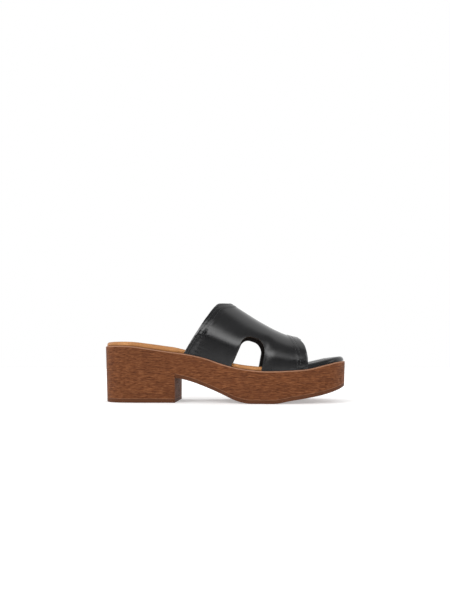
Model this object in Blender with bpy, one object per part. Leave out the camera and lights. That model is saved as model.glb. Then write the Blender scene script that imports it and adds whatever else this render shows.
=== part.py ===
"""Open-toe platform mule for the right foot: a leather band upper on a block-heeled platform sole.

Sizes are in millimetres, and MM turns them into metres. +X points to the toe, -Y is the outer
side of the foot, +Z is up, and the origin is on the floor under the middle of the shoe.
"""
import bisect
import math
from collections import namedtuple

import bmesh
import bpy
from mathutils import Vector

MM = 0.001
GAP = 0.3  # clearance between pieces that touch

# Driving dimensions.
LENGTH = 250.0
HEEL_BACK = -LENGTH / 2
TOE_TIP = LENGTH / 2
BREAST = -49.2  # front face of the heel block
LIFT = 3.4  # thickness of the heel's top lift
OUTSOLE = 3.2
BINDING = 1.2  # leather turned over the toe's edge
WALL = 2.0  # leather and lining of the upper
RIM_ROUND = 1.8  # rounding of the sole's top edge
TREAD_ROUND = 0.6  # rounding of the edges that meet the floor
DRAFT = math.tan(math.radians(1.5))  # lean of the sole's side, narrower downwards
WALL_INSET = 1.2  # from the sole's edge to the outer face of the upper
BINDING_INSET = 1.4  # from the sole's edge to the outer face of the toe binding
BINDING_MARGIN = 11.0  # width of the binding over the footbed
FOOTBED_ROLL = 2.6  # radius of the footbed's rolled edge
BINDING_START = {-1: 82.2, 1: 89.0}  # where the binding comes out from under the upper

# Rounding of the plan at both ends: length of the rounded stretch and how square it is.
HEEL_ROUND = 30.0
HEEL_POWER = 2.4
TOE_ROUND = 27.0
TOE_POWER = 2.6
END_STEPS = 9
ROLL_ANGLES = (0.0, math.pi / 6, math.pi / 3, math.pi / 2)
STATION_STEP = 6.0

# Plan of the sole's top edge, before the ends are rounded.
Plan = namedtuple("Plan", "x outer inner")
PLAN = [
    Plan(x=-125.0, outer=-29.5, inner=29.5),
    Plan(x=-90.0, outer=-31.5, inner=31.0),
    Plan(x=-50.0, outer=-31.0, inner=30.0),
    Plan(x=-22.0, outer=-33.0, inner=28.5),
    Plan(x=4.0, outer=-37.5, inner=31.5),
    Plan(x=30.0, outer=-43.0, inner=38.5),
    Plan(x=48.0, outer=-44.0, inner=42.0),
    Plan(x=70.0, outer=-43.0, inner=44.0),
    Plan(x=100.0, outer=-36.5, inner=41.5),
    Plan(x=125.0, outer=-29.0, inner=36.0),
]

# Height of the sole's top edge: heel seat, waist, ball and toe spring.
Rim = namedtuple("Rim", "x height")
RIM = [
    Rim(x=-125.0, height=57.3),
    Rim(x=-110.0, height=57.2),
    Rim(x=-95.0, height=56.7),
    Rim(x=-75.0, height=54.05),
    Rim(x=-56.0, height=51.2),
    Rim(x=-38.0, height=48.7),
    Rim(x=-19.0, height=44.4),
    Rim(x=-2.0, height=38.6),
    Rim(x=11.0, height=35.2),
    Rim(x=24.0, height=33.1),
    Rim(x=42.0, height=31.6),
    Rim(x=62.0, height=32.1),
    Rim(x=80.0, height=33.5),
    Rim(x=100.0, height=38.0),
    Rim(x=113.0, height=40.9),
    Rim(x=125.0, height=42.2),
]

# Height of the walking surface from the heel breast to the toe, level under the ball.
Tread = namedtuple("Tread", "x height")
TREAD = [
    Tread(x=BREAST, height=25.3),
    Tread(x=-36.0, height=22.3),
    Tread(x=-18.0, height=15.9),
    Tread(x=1.0, height=7.6),
    Tread(x=9.0, height=3.8),
    Tread(x=17.0, height=1.3),
    Tread(x=26.0, height=0.0),
    Tread(x=48.0, height=0.0),
    Tread(x=55.0, height=0.9),
    Tread(x=63.0, height=2.6),
    Tread(x=79.0, height=5.2),
    Tread(x=95.0, height=8.2),
    Tread(x=112.0, height=12.9),
    Tread(x=125.0, height=17.6),
]

# Room between the sole's edge and the footbed: wide where a leg of the upper stands between them.
FootbedEdge = namedtuple("FootbedEdge", "x outer inner")
FOOTBED_EDGE = [
    FootbedEdge(x=-125.0, outer=1.4, inner=1.4),
    FootbedEdge(x=-50.0, outer=1.4, inner=1.4),
    FootbedEdge(x=-43.0, outer=3.9, inner=3.9),
    FootbedEdge(x=8.0, outer=3.9, inner=3.9),
    FootbedEdge(x=15.0, outer=1.4, inner=1.4),
    FootbedEdge(x=29.0, outer=1.4, inner=1.4),
    FootbedEdge(x=36.0, outer=3.9, inner=3.9),
    FootbedEdge(x=82.0, outer=3.9, inner=3.9),
    FootbedEdge(x=90.0, outer=2.9, inner=3.9),
    FootbedEdge(x=98.0, outer=2.9, inner=2.9),
    FootbedEdge(x=125.0, outer=2.9, inner=2.9),
]

# Footbed: thickness at its edge, and the hollow across it, deepest in the heel seat.
Padding = namedtuple("Padding", "x thickness hollow")
PADDING = [
    Padding(x=-125.0, thickness=3.8, hollow=0.0),
    Padding(x=-100.0, thickness=4.1, hollow=2.0),
    Padding(x=-72.0, thickness=4.8, hollow=1.8),
    Padding(x=-52.0, thickness=5.0, hollow=1.3),
    Padding(x=-38.0, thickness=3.9, hollow=1.0),
    Padding(x=15.0, thickness=3.7, hollow=1.0),
    Padding(x=45.0, thickness=4.0, hollow=1.2),
    Padding(x=80.0, thickness=3.7, hollow=0.6),
    Padding(x=100.0, thickness=3.4, hollow=0.2),
    Padding(x=125.0, thickness=3.4, hollow=0.0),
]

# Sections of the upper: height of the instep ridge, its place across the foot, the fullness of
# the shoulders, where 2 is an ellipse, and the share of the height that slopes down from the ridge
# as a roof. The ridge goes on rising behind the collar.
Section = namedtuple("Section", "x ridge across fullness roof")
SECTIONS = [
    Section(x=-42.0, ridge=127.0, across=2.0, fullness=4.8, roof=0.5),
    Section(x=-20.0, ridge=117.4, across=2.2, fullness=4.8, roof=0.5),
    Section(x=-5.0, ridge=109.6, across=2.5, fullness=4.8, roof=0.5),
    Section(x=8.5, ridge=101.9, across=3.2, fullness=4.8, roof=0.5),
    Section(x=22.0, ridge=93.3, across=4.0, fullness=4.4, roof=0.43),
    Section(x=37.5, ridge=83.3, across=5.0, fullness=3.4, roof=0.22),
    Section(x=53.5, ridge=74.4, across=6.0, fullness=2.75, roof=0.06),
    Section(x=66.0, ridge=69.4, across=7.0, fullness=2.7, roof=0.05),
    Section(x=78.0, ridge=67.0, across=8.0, fullness=2.7, roof=0.05),
    Section(x=92.0, ridge=65.4, across=8.0, fullness=2.7, roof=0.05),
]

# Edges of the upper, from the outer rim (over = 0) over the ridge (0.5) to the inner rim (1).
# The collar is the same on both sides.
Edge = namedtuple("Edge", "over x")
COLLAR = [
    Edge(over=0.0, x=-40.2),
    Edge(over=0.085, x=-34.9),
    Edge(over=0.158, x=-29.3),
    Edge(over=0.202, x=-24.7),
    Edge(over=0.236, x=-20.4),
    Edge(over=0.27, x=-15.6),
    Edge(over=0.297, x=-12.2),
    Edge(over=0.322, x=-9.2),
    Edge(over=0.346, x=-6.4),
    Edge(over=0.37, x=-2.1),
    Edge(over=0.39, x=1.1),
    Edge(over=0.41, x=3.3),
    Edge(over=0.43, x=4.7),
    Edge(over=0.45, x=5.4),
    Edge(over=0.47, x=5.6),
    Edge(over=0.5, x=5.6),
]
FRONT = [
    Edge(over=0.0, x=81.5),
    Edge(over=0.093, x=81.6),
    Edge(over=0.152, x=81.0),
    Edge(over=0.234, x=79.6),
    Edge(over=0.319, x=76.7),
    Edge(over=0.418, x=75.9),
    Edge(over=0.5, x=78.2),
    Edge(over=0.545, x=80.9),
    Edge(over=0.589, x=82.6),
    Edge(over=0.686, x=84.8),
    Edge(over=0.768, x=86.4),
    Edge(over=0.848, x=87.6),
    Edge(over=0.907, x=88.1),
    Edge(over=1.0, x=88.3),
]
UPPER_COLUMNS = 26
UPPER_ROWS = 54

# Side cut-out of the upper: corners of its outline seen from the side, and how far each is rounded.
Corner = namedtuple("Corner", "x z rounding")
CUTOUT = [
    Corner(x=3.9, z=30.0, rounding=0.0),
    Corner(x=20.0, z=67.7, rounding=8.0),
    Corner(x=41.6, z=61.0, rounding=10.5),
    Corner(x=35.2, z=26.0, rounding=0.0),
]
CUTOUT_HALF_SPAN = 60.0
CUTOUT_STEPS = 7


def curve(rows, column, along="x"):
    """Return a smooth function through a table's column that keeps its highs and lows."""
    places = [getattr(row, along) for row in rows]
    values = [getattr(row, column) for row in rows]
    steps = [b - a for a, b in zip(places, places[1:])]
    slopes = [(b - a) / step for a, b, step in zip(values, values[1:], steps)]
    tangents = [slopes[0]]
    for before, after in zip(slopes, slopes[1:]):
        turns = before * after <= 0
        tangents.append(0.0 if turns else 2 * before * after / (before + after))
    tangents.append(slopes[-1])

    def value(place):
        place = min(max(place, places[0]), places[-1])
        row = min(bisect.bisect_right(places, place), len(steps)) - 1
        step = steps[row]
        t = (place - places[row]) / step
        start = values[row] * (1 + 2 * t) + tangents[row] * step * t
        end = values[row + 1] * (3 - 2 * t) - tangents[row + 1] * step * (1 - t)
        return start * (1 - t) ** 2 + end * t ** 2

    return value


PLAN_SIDE = {-1: curve(PLAN, "outer"), 1: curve(PLAN, "inner")}
FOOTBED_INSET = {-1: curve(FOOTBED_EDGE, "outer"), 1: curve(FOOTBED_EDGE, "inner")}
rim = curve(RIM, "height")
tread = curve(TREAD, "height")
padding = curve(PADDING, "thickness")
hollow = curve(PADDING, "hollow")
ridge = curve(SECTIONS, "ridge")
ridge_across = curve(SECTIONS, "across")
fullness = curve(SECTIONS, "fullness")
roof = curve(SECTIONS, "roof")
collar = curve(COLLAR + [Edge(1 - row.over, row.x) for row in COLLAR[-2::-1]], "x", along="over")
front = curve(FRONT, "x", along="over")


def rounding(x):
    """Return the share of the full half width where the plan rounds off at the heel and toe."""
    heel = max(0.0, (HEEL_BACK + HEEL_ROUND - x) / HEEL_ROUND)
    toe = max(0.0, (x - TOE_TIP + TOE_ROUND) / TOE_ROUND)
    heel_share = (1 - min(heel, 1.0) ** HEEL_POWER) ** (1 / HEEL_POWER)
    toe_share = (1 - min(toe, 1.0) ** TOE_POWER) ** (1 / TOE_POWER)
    return heel_share * toe_share


def plan_edge(x, side):
    """Return the sole's edge at x, on the outer (-1) or the inner (1) side."""
    outer = PLAN_SIDE[-1](x)
    inner = PLAN_SIDE[1](x)
    return (outer + inner) / 2 + side * rounding(x) * (inner - outer) / 2


def station_places():
    """Return the places along the shoe where the sole's pieces have a section."""
    quarter = [math.pi / 2 * step / END_STEPS for step in range(END_STEPS + 1)]
    heel = [HEEL_BACK + HEEL_ROUND * (1 - math.cos(angle)) for angle in quarter]
    toe = [TOE_TIP - TOE_ROUND * (1 - math.cos(angle)) for angle in quarter]
    places = heel + toe[::-1]
    for start, end in ((heel[-1], BREAST), (BREAST + GAP, toe[-1])):
        count = round((end - start) / STATION_STEP)
        places += [start + (end - start) * step / count for step in range(count + 1)]
    return sorted({round(place, 3) for place in [*places, *BINDING_START.values()]})


def plan_frames(places):
    """Return each edge point of the plan with its inward direction, keyed by station and side."""
    last = len(places) - 1
    loop = [(k, -1) for k in range(last + 1)] + [(k, 1) for k in range(last - 1, 0, -1)]
    points = [Vector((places[k], plan_edge(places[k], side))) for k, side in loop]
    frames = {}
    for index, key in enumerate(loop):
        along = points[(index + 1) % len(loop)] - points[index - 1]
        frames[key] = (points[index], Vector((-along.y, along.x)).normalized())
    frames[(0, 1)] = frames[(0, -1)]
    frames[(last, 1)] = frames[(last, -1)]
    return frames


STATIONS = station_places()
FRAMES = plan_frames(STATIONS)
BREAST_STATION = STATIONS.index(BREAST)
TIPS = (0, len(STATIONS) - 1)


def edge_point(station, side, inset, height):
    """Return a point at a height, moved in from the sole's edge by an inset."""
    point, inward = FRAMES[(station, side)]
    place = point + inward * inset
    return Vector((place.x, place.y, height))


def rim_over(station, side, inset):
    """Return the rim's height at a point moved in from the sole's edge by an inset."""
    return rim(edge_point(station, side, inset, 0.0).x)


def face(bm, corners):
    """Add a face through the corners, leaving out a corner that repeats another."""
    unique = list(dict.fromkeys(corners))
    if len(unique) > 2:
        bm.faces.new(unique)


def ring_of(bm, stations, place):
    """Add one vertex for each station and side, and share it between the sides at a tip."""
    ring = {}
    for k in stations:
        for side in (-1, 1):
            if side == 1 and k in TIPS:
                ring[(k, 1)] = ring[(k, -1)]
            else:
                inset, height = place(k, side)
                ring[(k, side)] = bm.verts.new(edge_point(k, side, inset, height) * MM)
    return ring


def loop_of(stations):
    """Return the keys around a ring: up the outer side and back down the inner side."""
    return [(k, -1) for k in stations] + [(k, 1) for k in reversed(stations)]


def wall(bm, lower, upper, stations):
    """Join two rings with a band of faces."""
    loop = loop_of(stations)
    for a, b in zip(loop, loop[1:] + loop[:1]):
        face(bm, (lower[a], lower[b], upper[b], upper[a]))


def cap(bm, ring, stations, facing_up):
    """Close a ring with a face across the foot between each two stations."""
    for a, b in zip(stations, stations[1:]):
        corners = [ring[(a, -1)], ring[(b, -1)], ring[(b, 1)], ring[(a, 1)]]
        face(bm, corners if facing_up else corners[::-1])


def make_object(name, bm, colour, roughness):
    """Turn a bmesh into a named object with its own material."""
    bmesh.ops.recalc_face_normals(bm, faces=bm.faces[:])
    mesh = bpy.data.meshes.new(name)
    bm.to_mesh(mesh)
    bm.free()
    mesh.shade_smooth()
    mesh.set_sharp_from_angle(angle=math.radians(35))
    material = bpy.data.materials.new(name)
    material.use_nodes = True
    shader = material.node_tree.nodes["Principled BSDF"]
    shader.inputs["Base Color"].default_value = (*colour, 1.0)
    shader.inputs["Roughness"].default_value = roughness
    shader.inputs["Metallic"].default_value = 0.0
    mesh.materials.append(material)
    piece = bpy.data.objects.new(name, mesh)
    bpy.context.scene.collection.objects.link(piece)
    return piece


def side_lean(k, height):
    """Return how far the sole's side has leaned in at a height."""
    return DRAFT * max(0.0, rim(STATIONS[k]) - RIM_ROUND - height)


def make_sole_unit():
    """Make the moulding: platform, waist and block heel, with a rounded top edge."""
    bm = bmesh.new()
    everywhere = list(range(len(STATIONS)))
    heel = everywhere[:BREAST_STATION + 1]
    forward = everywhere[BREAST_STATION:]
    quarter_turn = 1 - math.sqrt(0.5)

    def heel_seat(k, side):
        height = LIFT + GAP
        return side_lean(k, height), height

    def underside(k, side):
        height = tread(STATIONS[k]) + OUTSOLE + GAP
        return side_lean(k, height), height

    def rounded(share_in, share_down):
        inset = RIM_ROUND * share_in
        return lambda k, side: (inset, rim_over(k, side, inset) - RIM_ROUND * share_down)

    heel_ring = ring_of(bm, heel, heel_seat)
    forward_ring = ring_of(bm, forward, underside)
    shoulder = ring_of(bm, everywhere, rounded(0.0, 1.0))
    turn = ring_of(bm, everywhere, rounded(quarter_turn, quarter_turn))
    top = ring_of(bm, everywhere, rounded(1.0, 0.0))

    for side in (-1, 1):
        for run, ring in ((heel, heel_ring), (forward, forward_ring)):
            for a, b in zip(run, run[1:]):
                corners = [ring[(a, side)], ring[(b, side)]]
                if ring is heel_ring and b == BREAST_STATION:
                    corners.append(forward_ring[(b, side)])
                corners += [shoulder[(b, side)], shoulder[(a, side)]]
                face(bm, corners)
    wall(bm, shoulder, turn, everywhere)
    wall(bm, turn, top, everywhere)
    cap(bm, top, everywhere, facing_up=True)
    cap(bm, heel_ring, heel, facing_up=False)
    cap(bm, forward_ring, forward, facing_up=False)
    breast = (BREAST_STATION, -1), (BREAST_STATION, 1)
    face(bm, [heel_ring[key] for key in breast] + [forward_ring[key] for key in breast[::-1]])
    return make_object("sole_unit", bm, colour=(0.19, 0.065, 0.028), roughness=0.5)


def make_tread_piece(name, stations, bottom, thickness, colour):
    """Make a sheet under the sole with its lower edge rounded off."""
    bm = bmesh.new()

    def level(extra_inset, rise):
        def place(k, side):
            height = bottom(STATIONS[k]) + rise
            return side_lean(k, height) + extra_inset, height
        return place

    tread_ring = ring_of(bm, stations, level(TREAD_ROUND, 0.0))
    edge_ring = ring_of(bm, stations, level(0.0, TREAD_ROUND))
    top_ring = ring_of(bm, stations, level(0.0, thickness))
    wall(bm, tread_ring, edge_ring, stations)
    wall(bm, edge_ring, top_ring, stations)
    cap(bm, tread_ring, stations, facing_up=False)
    cap(bm, top_ring, stations, facing_up=True)
    return make_object(name, bm, colour, roughness=0.6)


def make_footbed():
    """Make the padded insole: a rolled edge, and a shallow hollow along the foot."""
    bm = bmesh.new()
    stations = list(range(len(STATIONS)))

    def underside(k, side):
        inset = FOOTBED_INSET[side](STATIONS[k])
        return inset, rim_over(k, side, inset) + GAP

    def rolled(angle):
        def place(k, side):
            inset = FOOTBED_INSET[side](STATIONS[k]) + FOOTBED_ROLL * (1 - math.cos(angle))
            top = rim_over(k, side, inset) + GAP + padding(STATIONS[k])
            return inset, top - FOOTBED_ROLL * (1 - math.sin(angle))
        return place

    rings = [ring_of(bm, stations, underside)]
    for angle in ROLL_ANGLES:
        rings.append(ring_of(bm, stations, rolled(angle)))
    for lower, upper in zip(rings, rings[1:]):
        wall(bm, lower, upper, stations)
    cap(bm, rings[0], stations, facing_up=False)

    top = rings[-1]
    middle = {}
    for k in stations:
        if k in TIPS:
            middle[k] = top[(k, -1)]
        else:
            centre = (top[(k, -1)].co + top[(k, 1)].co) / 2
            middle[k] = bm.verts.new(centre - Vector((0, 0, hollow(STATIONS[k]) * MM)))
    for a, b in zip(stations, stations[1:]):
        face(bm, (top[(a, -1)], top[(b, -1)], middle[b], middle[a]))
        face(bm, (middle[a], middle[b], top[(b, 1)], top[(a, 1)]))
    return make_object("footbed", bm, colour=(0.55, 0.27, 0.11), roughness=0.55)


def binding_section(padding_height):
    """Return the binding's cut, as pairs of inset and height over the footbed's underside."""
    outer_roll = FOOTBED_ROLL + GAP + BINDING
    inner_roll = FOOTBED_ROLL + GAP
    top = padding_height + GAP + BINDING
    outer = [(0.0, 0.0)]
    inner = [(BINDING, 0.0)]
    for angle in ROLL_ANGLES:
        inward = 1 - math.cos(angle)
        down = 1 - math.sin(angle)
        outer.append((outer_roll * inward, top - outer_roll * down))
        inner.append((BINDING + inner_roll * inward, top - BINDING - inner_roll * down))
    outer.append((BINDING_MARGIN, top))
    inner.append((BINDING_MARGIN, top - BINDING))
    return outer + inner[::-1]


def make_toe_binding():
    """Make the leather turned over the footbed's edge, from the upper around the toe."""
    bm = bmesh.new()
    last = len(STATIONS) - 1
    loop = [(k, -1) for k in range(last + 1) if STATIONS[k] >= BINDING_START[-1]]
    loop += [(k, 1) for k in range(last - 1, 0, -1) if STATIONS[k] >= BINDING_START[1]]
    cuts = []
    for k, side in loop:
        cut = []
        for inset, rise in binding_section(padding(STATIONS[k])):
            height = rim_over(k, side, BINDING_INSET + inset) + GAP + rise
            cut.append(bm.verts.new(edge_point(k, side, BINDING_INSET + inset, height) * MM))
        cuts.append(cut)
    for near, far in zip(cuts, cuts[1:]):
        for index in range(len(near)):
            face(bm, (near[index - 1], near[index], far[index], far[index - 1]))
    bm.faces.new(cuts[0])
    bm.faces.new(cuts[-1])
    return make_object("toe_binding", bm, colour=(0.012, 0.012, 0.013), roughness=0.4)


def upper_point(along, over):
    """Return a point of the upper's outer face, from collar to front and over the foot."""
    x = collar(over) + (front(over) - collar(over)) * along
    side = -1 if over < 0.5 else 1
    foot = plan_edge(x, side) - side * WALL_INSET
    base = rim(x) + GAP
    outward = abs(math.cos(math.pi * over))
    upward = max(0.0, math.sin(math.pi * over))
    reach = (outward ** fullness(x) + upward ** fullness(x)) ** (-1 / fullness(x))
    across = reach * outward
    up = (1 - roof(x)) * reach * upward + roof(x) * (1 - across ** 2)
    y = ridge_across(x) + (foot - ridge_across(x)) * across
    return Vector((x, y, base + (ridge(x) - base) * up))


def upper_normal(along, over):
    """Return the outward direction of the upper's face."""
    step = 0.002
    left, right = max(0.0, along - step), min(1.0, along + step)
    low, high = max(0.0, over - step), min(1.0, over + step)
    lengthwise = upper_point(right, over) - upper_point(left, over)
    crosswise = upper_point(along, high) - upper_point(along, low)
    return lengthwise.cross(crosswise).normalized()


def make_cutout_cutter():
    """Make the prism that opens the upper on both sides."""
    bm = bmesh.new()
    near = -CUTOUT_HALF_SPAN
    corners = [bm.verts.new(Vector((c.x, near, c.z)) * MM) for c in CUTOUT]
    bm.faces.new(corners)
    for corner, vertex in zip(CUTOUT, corners):
        if corner.rounding:
            bmesh.ops.bevel(
                bm, geom=[vertex], offset=corner.rounding * MM, segments=CUTOUT_STEPS,
                profile=0.5, affect="VERTICES", material=-1,
            )
    sweep = bmesh.ops.extrude_face_region(bm, geom=bm.faces[:], use_keep_orig=True)
    moved = [item for item in sweep["geom"] if isinstance(item, bmesh.types.BMVert)]
    bmesh.ops.translate(bm, verts=moved, vec=(0, 2 * CUTOUT_HALF_SPAN * MM, 0))
    cutter = make_object("cutout_cutter", bm, colour=(0.5, 0.5, 0.5), roughness=0.5)
    cutter.hide_render = True
    cutter.display_type = "WIRE"
    return cutter


def make_upper():
    """Make the band as one hollow wall, open at the collar, toe, sides and underneath."""
    bm = bmesh.new()
    outer = {}
    inner = {}
    for i in range(UPPER_COLUMNS + 1):
        for j in range(UPPER_ROWS + 1):
            along = i / UPPER_COLUMNS
            over = j / UPPER_ROWS
            point = upper_point(along, over)
            outer[(i, j)] = bm.verts.new(point * MM)
            inner[(i, j)] = bm.verts.new((point - upper_normal(along, over) * WALL) * MM)
    for i in range(UPPER_COLUMNS):
        for j in range(UPPER_ROWS):
            cell = ((i, j), (i + 1, j), (i + 1, j + 1), (i, j + 1))
            face(bm, [outer[key] for key in cell])
            face(bm, [inner[key] for key in reversed(cell)])
    border = [(i, 0) for i in range(UPPER_COLUMNS)]
    border += [(UPPER_COLUMNS, j) for j in range(UPPER_ROWS)]
    border += [(i, UPPER_ROWS) for i in range(UPPER_COLUMNS, 0, -1)]
    border += [(0, j) for j in range(UPPER_ROWS, 0, -1)]
    for a, b in zip(border, border[1:] + border[:1]):
        face(bm, (outer[a], inner[a], inner[b], outer[b]))
    upper = make_object("upper", bm, colour=(0.012, 0.012, 0.013), roughness=0.4)
    cut = upper.modifiers.new("side_cutouts", "BOOLEAN")
    cut.operation = "DIFFERENCE"
    cut.solver = "EXACT"
    cut.object = make_cutout_cutter()
    return upper


for old in list(bpy.data.objects):
    bpy.data.objects.remove(old, do_unlink=True)

heel_stations = list(range(BREAST_STATION + 1))
forward_stations = list(range(BREAST_STATION + 1, len(STATIONS)))
RUBBER = (0.085, 0.033, 0.018)
shoe = bpy.data.objects.new("right_mule", None)
bpy.context.scene.collection.objects.link(shoe)
pieces = [
    make_sole_unit(),
    make_tread_piece("outsole", forward_stations, tread, OUTSOLE, RUBBER),
    make_tread_piece("heel_top_lift", heel_stations, lambda x: 0.0, LIFT, RUBBER),
    make_footbed(),
    make_toe_binding(),
    make_upper(),
]
for piece in pieces:
    piece.parent = shoe
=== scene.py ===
import bisect
import math
from collections import namedtuple

import bmesh
import bpy
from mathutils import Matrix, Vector
from mathutils.bvhtree import BVHTree
from mathutils.kdtree import KDTree
from mathutils.noise import noise as unevenness


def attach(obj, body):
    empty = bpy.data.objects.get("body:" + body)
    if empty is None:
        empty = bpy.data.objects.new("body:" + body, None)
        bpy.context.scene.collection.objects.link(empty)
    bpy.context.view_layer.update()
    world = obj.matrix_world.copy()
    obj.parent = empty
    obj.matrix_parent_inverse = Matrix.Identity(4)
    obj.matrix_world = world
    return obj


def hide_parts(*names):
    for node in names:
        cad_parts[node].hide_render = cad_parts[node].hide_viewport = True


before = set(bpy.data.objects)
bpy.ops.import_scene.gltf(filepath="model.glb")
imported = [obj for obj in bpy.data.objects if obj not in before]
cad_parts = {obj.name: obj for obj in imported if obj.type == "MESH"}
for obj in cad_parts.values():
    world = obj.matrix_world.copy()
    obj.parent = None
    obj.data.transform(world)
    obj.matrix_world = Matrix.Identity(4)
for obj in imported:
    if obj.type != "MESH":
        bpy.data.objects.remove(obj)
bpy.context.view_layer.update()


# Sole unit: the platform, waist and block heel, moulded in one piece with a wood-effect skin whose
# grain runs round the shoe. The rubber pieces are stuck under it, and the rest is fixed on top.
MM = 0.001
GAP = 0.3
HEEL_BACK = -125.0
TOE_TIP = 125.0
BREAST = -49.2
LIFT = 3.4
OUTSOLE = 3.2
RIM_ROUND = 1.0
# RIM_GLOW and JOINT_GLOW place the side's last and first rows, which bound the painted highlight
# along the rim and along the bottom edge.
RIM_GLOW = 0.3
JOINT_GLOW = 0.9
DRAFT = math.tan(math.radians(1.5))
HEEL_ROUND = 30.0
HEEL_POWER = 2.4
TOE_ROUND = 27.0
TOE_POWER = 2.6
END_STEPS = 18
STATION_STEP = 2.5

Plan = namedtuple("Plan", "x outer inner")
PLAN = [
    Plan(x=-125.0, outer=-29.5, inner=29.5),
    Plan(x=-90.0, outer=-31.5, inner=31.0),
    Plan(x=-50.0, outer=-31.0, inner=30.0),
    Plan(x=-22.0, outer=-33.0, inner=28.5),
    Plan(x=4.0, outer=-37.5, inner=31.5),
    Plan(x=30.0, outer=-43.0, inner=38.5),
    Plan(x=48.0, outer=-44.0, inner=42.0),
    Plan(x=70.0, outer=-43.0, inner=44.0),
    Plan(x=100.0, outer=-36.5, inner=41.5),
    Plan(x=125.0, outer=-29.0, inner=36.0),
]
Level = namedtuple("Level", "x height")
RIM = [
    Level(x=-125.0, height=57.3),
    Level(x=-110.0, height=57.2),
    Level(x=-95.0, height=56.7),
    Level(x=-75.0, height=54.05),
    Level(x=-56.0, height=51.2),
    Level(x=-38.0, height=48.7),
    Level(x=-19.0, height=44.4),
    Level(x=-2.0, height=38.6),
    Level(x=11.0, height=35.2),
    Level(x=24.0, height=33.1),
    Level(x=42.0, height=31.6),
    Level(x=62.0, height=32.1),
    Level(x=80.0, height=33.5),
    Level(x=100.0, height=38.0),
    Level(x=113.0, height=40.9),
    Level(x=125.0, height=42.2),
]
TREAD = [
    Level(x=BREAST, height=25.3),
    Level(x=-36.0, height=22.3),
    Level(x=-18.0, height=15.9),
    Level(x=1.0, height=7.6),
    Level(x=9.0, height=3.8),
    Level(x=17.0, height=1.3),
    Level(x=26.0, height=0.0),
    Level(x=48.0, height=0.0),
    Level(x=55.0, height=0.9),
    Level(x=63.0, height=2.6),
    Level(x=79.0, height=5.2),
    Level(x=95.0, height=8.2),
    Level(x=112.0, height=12.9),
    Level(x=125.0, height=17.6),
]


def curve(rows, column, along="x"):
    """Return a smooth function through a table's column that keeps its highs and lows."""
    places = [getattr(row, along) for row in rows]
    values = [getattr(row, column) for row in rows]
    steps = [b - a for a, b in zip(places, places[1:])]
    slopes = [(b - a) / step for a, b, step in zip(values, values[1:], steps)]
    tangents = [slopes[0]]
    for before, after in zip(slopes, slopes[1:]):
        turns = before * after <= 0
        tangents.append(0.0 if turns else 2 * before * after / (before + after))
    tangents.append(slopes[-1])

    def value(place):
        place = min(max(place, places[0]), places[-1])
        row = min(bisect.bisect_right(places, place), len(steps)) - 1
        step = steps[row]
        t = (place - places[row]) / step
        start = values[row] * (1 + 2 * t) + tangents[row] * step * t
        end = values[row + 1] * (3 - 2 * t) - tangents[row + 1] * step * (1 - t)
        return start * (1 - t) ** 2 + end * t ** 2

    return value


plan_side = {-1: curve(PLAN, "outer"), 1: curve(PLAN, "inner")}
rim = curve(RIM, "height")
tread = curve(TREAD, "height")


def plan_edge(x, side):
    """Return the sole's edge at x, on the outer (-1) or the inner (1) side."""
    heel = min(max(0.0, (HEEL_BACK + HEEL_ROUND - x) / HEEL_ROUND), 1.0)
    toe = min(max(0.0, (x - TOE_TIP + TOE_ROUND) / TOE_ROUND), 1.0)
    heel_share = (1 - heel ** HEEL_POWER) ** (1 / HEEL_POWER)
    toe_share = (1 - toe ** TOE_POWER) ** (1 / TOE_POWER)
    outer = plan_side[-1](x)
    inner = plan_side[1](x)
    return (outer + inner) / 2 + side * heel_share * toe_share * (inner - outer) / 2


# The toe binding starts at these places on the outer and the inner side, so a section lies there.
BINDING_START = {-1: 81.85, 1: 89.0}


def station_places():
    """Return the places along the shoe where the sole's pieces have a section."""
    quarter = [math.pi / 2 * step / END_STEPS for step in range(END_STEPS + 1)]
    heel = [HEEL_BACK + HEEL_ROUND * (1 - math.cos(angle)) for angle in quarter]
    toe = [TOE_TIP - TOE_ROUND * (1 - math.cos(angle)) for angle in quarter]
    places = heel + toe[::-1] + list(BINDING_START.values())
    for start, end in ((heel[-1], BREAST), (BREAST + GAP, toe[-1])):
        count = round((end - start) / STATION_STEP)
        places += [start + (end - start) * step / count for step in range(count + 1)]
    return sorted({round(place, 3) for place in places})


def plan_frames(places):
    """Return each edge point of the plan with its inward direction, keyed by station and side."""
    last = len(places) - 1
    loop = [(k, -1) for k in range(last + 1)] + [(k, 1) for k in range(last - 1, 0, -1)]
    points = [Vector((places[k], plan_edge(places[k], side))) for k, side in loop]
    frames = {}
    for index, key in enumerate(loop):
        along = points[(index + 1) % len(loop)] - points[index - 1]
        frames[key] = (points[index], Vector((-along.y, along.x)).normalized())
    frames[(0, 1)] = frames[(0, -1)]
    frames[(last, 1)] = frames[(last, -1)]
    return frames


stations = station_places()
edge_frames = plan_frames(stations)


def edge_point(k, side, inset, height):
    """Return a point at a height, moved in from the sole's edge by an inset."""
    point, inward = edge_frames[(k, side)]
    place = point + inward * inset
    return Vector((place.x, place.y, height))


def middle_point(k, inset, height):
    """Return the point half way across the shoe."""
    return (edge_point(k, -1, inset, height) + edge_point(k, 1, inset, height)) / 2


def rim_point(k, side, inset, rise):
    """Return a point over the rim's level, moved in from the sole's edge by an inset."""
    point = edge_point(k, side, inset, 0.0)
    point.z = rim(point.x) + rise
    return point


def rim_middle(k, inset, rise):
    """Return the point over the rim's level, half way across the shoe."""
    return (rim_point(k, -1, inset, rise) + rim_point(k, 1, inset, rise)) / 2


def way_round():
    """Return how far each edge point is from the back of the heel, measured along its side."""
    lengths = {}
    for side in (-1, 1):
        total = 0.0
        for k in range(len(stations)):
            if k:
                total += (edge_frames[(k, side)][0] - edge_frames[(k - 1, side)][0]).length
            lengths[(k, side)] = total
    return lengths


def side_lean(x, height):
    """Return how far the sole's side has leaned in at a height."""
    return DRAFT * max(0.0, rim(x) - RIM_ROUND - height)


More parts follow.
